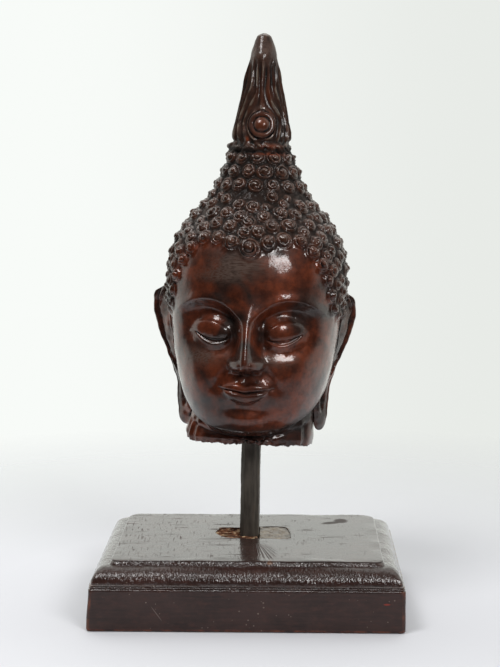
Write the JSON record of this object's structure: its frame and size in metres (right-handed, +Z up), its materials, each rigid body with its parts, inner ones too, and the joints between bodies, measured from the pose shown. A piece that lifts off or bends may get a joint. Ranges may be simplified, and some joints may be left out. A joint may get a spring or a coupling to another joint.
{
  "type": "buddha head statue",
  "caption": "Cast brass Buddha head with curled hair and a flame finial, on a short square iron bar over a moulded wooden base. Dark, glossy red-brown patina. It stands by its own weight.",
  "frame": {"origin": "middle of the base's underside", "axes": "+Z up, -Y towards the face's front, +X to the viewer's right"},
  "size_m": [0.16, 0.12, 0.3014],
  "materials": {
    "patinated_brass": "glossy dark red-brown patina, near black in the hollows",
    "black_iron": "dull dark grey-brown, worn edges",
    "lacquered_wood": "glossy dark brown lacquer, worn at the edges",
    "filler_paste": "matte grey-beige paste"
  },
  "bodies": {
    "root": {"head": "patinated_brass", "bar": "black_iron", "base": "lacquered_wood", "recess_filler": "filler_paste"}
  },
  "joints": []
}
